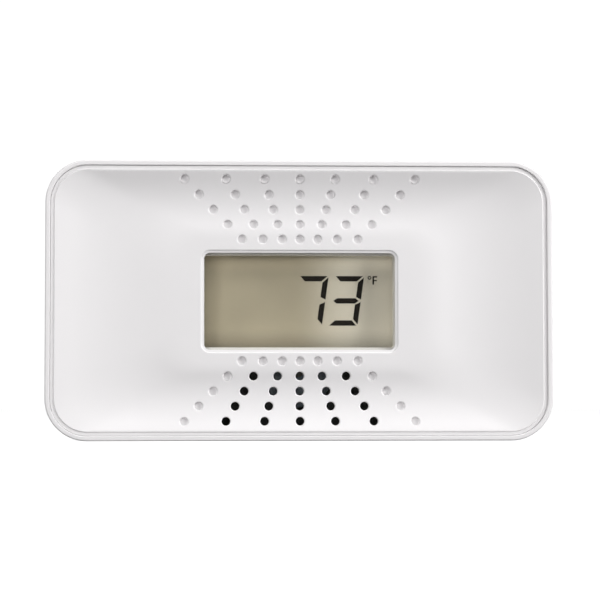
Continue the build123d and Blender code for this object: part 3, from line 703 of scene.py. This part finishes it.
# ---------------------------------------------------------------- dished face panel
def hole_places():
    """(x, z, goes through) of every hole, row by row out from the display."""
    places = []
    for side in (1, -1):
        for row in range(HOLE_ROWS):
            z = FIRST_ROW + row * ROW_PITCH
            for slope in sorted({s * k for s in RAY_SLOPES for k in (-1, 1)}):
                open_hole = side < 0 and row > 0 and abs(slope) < RAY_SLOPES[3]
                places.append((slope * z, side * z + VENT_CENTRE_Z, open_hole))
    return places


def circle_points(x, z, radius):
    """Points of a hole's ring, on the face's (x, z)."""
    angles = [math.tau * i / HOLE_SIDES for i in range(HOLE_SIDES)]
    return [(x + radius * math.cos(a), z + radius * math.sin(a)) for a in angles]


def skin(bm, loops, extra, keep, shift, blocked):
    """Triangulated sheet on the dish between closed loops of (x, z) points.

    loops are the borders and extra more points. keep tells which places the sheet covers,
    and blocked where the even grid of points leaves room. shift is how far behind the dish
    the sheet lies. Returns the vertices of each loop, in order."""
    flat, edges, spans = [], [], []
    for loop in loops:
        start = len(flat)
        flat += [Vector(p) for p in loop]
        spans.append((start, len(loop)))
        edges += [(start + i, start + (i + 1) % len(loop)) for i in range(len(loop))]
    flat += [Vector(p) for p in extra]
    nx, nz = int(WIDTH / MESH_STEP), int(HEIGHT / MESH_STEP)
    for i in range(-nx // 2, nx // 2 + 1):
        for j in range(-nz // 2, nz // 2 + 1):
            x, z = (i + 0.5 * (j % 2)) * MESH_STEP, j * MESH_STEP
            if keep(x, z, EDGE_SHARE * MESH_STEP) and not blocked(x, z):
                flat.append(Vector((x, z)))
    coords, _, faces, sources, _, _ = delaunay_2d_cdt(flat, edges, [], 0, 1e-8)
    verts = [bm.verts.new(place(p.x, p.y, face_depth(p.x, p.y) + shift)) for p in coords]
    used = set()
    for face in faces:
        cx = sum(coords[i].x for i in face) / len(face)
        cz = sum(coords[i].y for i in face) / len(face)
        if keep(cx, cz, 0.0):
            bm.faces.new([verts[i] for i in face])
            used.update(face)
    where = {source: index for index, group in enumerate(sources) for source in group}
    used.update(where[start + i] for start, count in spans for i in range(count))
    found = [[verts[where[start + i]] for i in range(count)] for start, count in spans]
    for index, vert in enumerate(verts):
        if index not in used:
            bm.verts.remove(vert)
    return found


def near_hole(holes, x, z, reach):
    return any(math.hypot(x - hx, z - hz) < reach for hx, hz, _ in holes)


def front_skin(bm, holes):
    """Dished front sheet. Returns its rim, the mouth of the window and the mouth of each hole."""
    edge = PANEL_INSET + PANEL_ROUND

    def keep(x, z, margin):
        in_window = in_grown(x, z - WINDOW_Z, WINDOW, margin)
        in_hole = near_hole(holes, x, z, MOUTH_R + margin)
        return in_face(x, z, edge + margin) and not in_window and not in_hole

    def blocked(x, z):
        return near_hole(holes, x, z, MOUTH_R + HOLE_CLEAR)

    loops = [outline_at(edge), window_ring(0.0)]
    loops += [circle_points(x, z, MOUTH_R) for x, z, _ in holes]
    extra = [p for x, z, _ in holes for p in circle_points(x, z, MOUTH_R + HOLE_BAND)[::2]]
    extra += window_ring(-WINDOW_BAND) + outline_at(edge + RIM_BAND)
    borders = skin(bm, loops, extra, keep, 0.0, blocked)
    return borders[0], borders[1], borders[2:]


def window_walls(bm, mouth):
    """Edge and wall of the window, then the lens pocket and the rib round it. Returns the rib's back."""
    plateau = face_depth(0, 0)
    seat = plateau + WINDOW_WALL
    last = walls(bm, mouth, (ring(bm, window_ring(inset), drop) for inset, drop in window_profile(plateau)))
    levels = ((POCKET, seat), (POCKET, seat + LENS_T), (RIB, seat + LENS_T))
    return walls(bm, last, (ring(bm, behind_window(shape), depth) for shape, depth in levels))


def outer_edge(bm, rim):
    """Small round of the panel's edge, its side, and the flange in the groove. Returns the flange's back."""
    last = rim
    for a in quarter(4):
        inset = PANEL_INSET + PANEL_ROUND * (1 - math.sin(a))
        level = PANEL_ROUND * (1 - math.cos(a))
        last = walls(bm, last, [ring(bm, outline_at(inset), rim_depth() + level)])
    flange = (
        (PANEL_INSET, FLANGE_FRONT),
        (FLANGE_INSET, FLANGE_FRONT),
        (FLANGE_INSET, FLANGE_BACK),
        (FLANGE_HIDDEN_INSET, FLANGE_BACK),
    )
    return walls(bm, last, (ring(bm, outline_at(inset), depth) for inset, depth in flange))


def hole_mouth(bm, x, z, radius, mouth):
    """Soft round edge of a hole. Returns the ring where the hole's straight wall starts."""
    last = mouth
    for a in quarter(5):
        points = circle_points(x, z, MOUTH_R - (MOUTH_R - radius) * math.sin(a))
        drop = MOUTH_DROP * (1 - math.cos(a))
        last = walls(bm, last, [ring(bm, points, sunk(drop))])
    return last


def dimple_floor(bm, x, z, edge):
    """Wall and slightly hollow floor of a blind hole."""
    middle = face_depth(x, z)
    last = edge
    for share, depth in dimple_profile():
        last = walls(bm, last, [ring(bm, circle_points(x, z, DIMPLE_R * share), middle + depth)])
    tip = bm.verts.new(place(x, z, middle + DIMPLE_DEPTH * DIMPLE_MIDDLE_DEPTH))
    for i in range(HOLE_SIDES):
        bm.faces.new((last[i], last[(i + 1) % HOLE_SIDES], tip))


def hole_walls(bm, holes, mouths):
    """Walls of every hole. Returns (x, z, ring) of each open one."""
    open_edges = []
    for (x, z, goes_through), mouth in zip(holes, mouths):
        if goes_through:
            open_edges.append((x, z, hole_mouth(bm, x, z, THROUGH_R, mouth)))
        else:
            dimple_floor(bm, x, z, hole_mouth(bm, x, z, DIMPLE_R, mouth))
    return open_edges


def back_skin(bm, open_edges, flange_back, rib_back):
    """Back of the panel, joined to its flange, to the rib round the window and to the open holes."""
    def keep(x, z, margin):
        in_rib = in_grown(x, z, RIB, margin)
        in_hole = near_hole(open_edges, x, z, THROUGH_R + margin)
        return in_face(x, z, FLANGE_HIDDEN_INSET + margin) and not in_rib and not in_hole

    loops = [outline_at(FLANGE_HIDDEN_INSET), behind_window(RIB)]
    loops += [circle_points(x, z, THROUGH_R) for x, z, _ in open_edges]
    back = skin(bm, loops, [], keep, PANEL_T, lambda x, z: False)
    bridge(bm, flange_back, back[0])
    bridge(bm, rib_back, back[1])
    for (_, _, edge), far in zip(open_edges, back[2:]):
        bridge(bm, edge, far)


def posts(bm):
    """Screw posts that hold the circuit board."""
    board_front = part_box("main_board")[0].y - FRONT_Y
    for x in (-POST_X, POST_X):
        for z in (-POST_Z, POST_Z):
            root = face_depth(x, z) + POST_ROOT
            tube(bm, x, z, root, board_front, POST_R, POST_BORE_R, POST_BORE_FRONT)


def hooks(bm):
    """Snap hooks near the edges: a stem and a barb each."""
    for along_x, sign, offset in HOOKS:
        edge = (HEIGHT if along_x else WIDTH) / 2
        along = (offset - HOOK_HALF, offset + HOOK_HALF)
        for near, far, front in (HOOK_STEM, HOOK_BARB):
            across = sorted((sign * (edge - near), sign * (edge - far)))
            x_span, z_span = (along, across) if along_x else (across, along)
            box_between(bm, *x_span, *z_span, front, HOOK_REAR)


def make_panel(material):
    """Finer mesh of the dished panel, drawn in place of the CAD one."""
    bm = bmesh.new()
    holes = hole_places()
    rim, window_mouth, mouths = front_skin(bm, holes)
    rib_back = window_walls(bm, window_mouth)
    flange_back = outer_edge(bm, rim)
    open_edges = hole_walls(bm, holes, mouths)
    back_skin(bm, open_edges, flange_back, rib_back)
    posts(bm)
    hooks(bm)
    piece = finish_mesh("face_panel_skin", bm, material, "root")
    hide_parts("face_panel")


def window_ring(inset):
    """Ring round the window, which sits a little below the middle of the face."""
    return [(x, z + WINDOW_Z) for x, z in matched_outline(*WINDOW, inset)]


def behind_window(shape):
    """Outline of a rounded rectangle behind the window, point for point with the window's wall."""
    half_x, half_z, radius = shape
    core_x = WINDOW_W / 2 - WINDOW_R
    core_z = WINDOW_H / 2 - WINDOW_R
    scale_x = (half_x - radius) / core_x
    scale_z = (half_z - radius) / core_z
    points = []
    for x, z in matched_outline(*WINDOW, WINDOW_BEVEL):
        cx = max(-core_x, min(core_x, x))
        cz = max(-core_z, min(core_z, z))
        new_x = cx * scale_x + (x - cx) / WINDOW_R * radius
        new_z = cz * scale_z + (z - cz) / WINDOW_R * radius
        points.append((new_x, new_z))
    return points


def quarter(count):
    """Angles of a quarter turn after the first."""
    return [math.radians(90 * (i + 1) / count) for i in range(count)]


def rim_depth():
    """Depth of the panel's face where it meets the small round of its edge."""
    return face_depth(0, HEIGHT / 2 - PANEL_INSET - PANEL_ROUND)


def window_profile(plateau):
    """(inset, depth) down the edge of the window, from the face to the lens seat."""
    steps = [(WINDOW_ROUND * math.sin(a), plateau + WINDOW_ROUND * (1 - math.cos(a))) for a in quarter(6)]
    ledge = plateau + WINDOW_ROUND + LEDGE_DROP
    return steps + [
        (WINDOW_ROUND + LEDGE_START, ledge),
        (WINDOW_BEVEL - LEDGE_MARGIN, ledge + LEDGE_DROP),
        (WINDOW_BEVEL - TURN_MARGIN, ledge + TURN_DROP),
        (WINDOW_BEVEL, ledge + TURN_END),
        (WINDOW_BEVEL, plateau + WINDOW_WALL),
    ]


def dimple_profile():
    """(share of the radius, depth) down a blind hole: steep wall, small corner round, nearly flat floor."""
    steps = [(1.0, MOUTH_DROP + DIMPLE_STEP), (DIMPLE_NARROWS, DIMPLE_DEPTH * (1 - DIMPLE_CORNER))]
    for a in quarter(3):
        share = DIMPLE_NARROWS - DIMPLE_CORNER * (1 - math.cos(a))
        steps.append((share, DIMPLE_DEPTH * (1 - DIMPLE_CORNER * (1 - math.sin(a)))))
    return steps + [(DIMPLE_HALFWAY, DIMPLE_DEPTH * DIMPLE_HALFWAY_DEPTH)]


# ---------------------------------------------------------------- build
def main():
    bpy.context.scene.view_settings.view_transform = "Standard"
    bpy.context.scene.cycles.transparent_max_bounces = TRANSPARENT_BOUNCES
    materials = make_materials()
    for key, names in NODE_MATERIALS.items():
        for name in names:
            paint(NODES[name], materials[key])
    make_panel(materials["panel"])
    make_camera()
    make_lights()
    make_world()
    make_floor()


main()
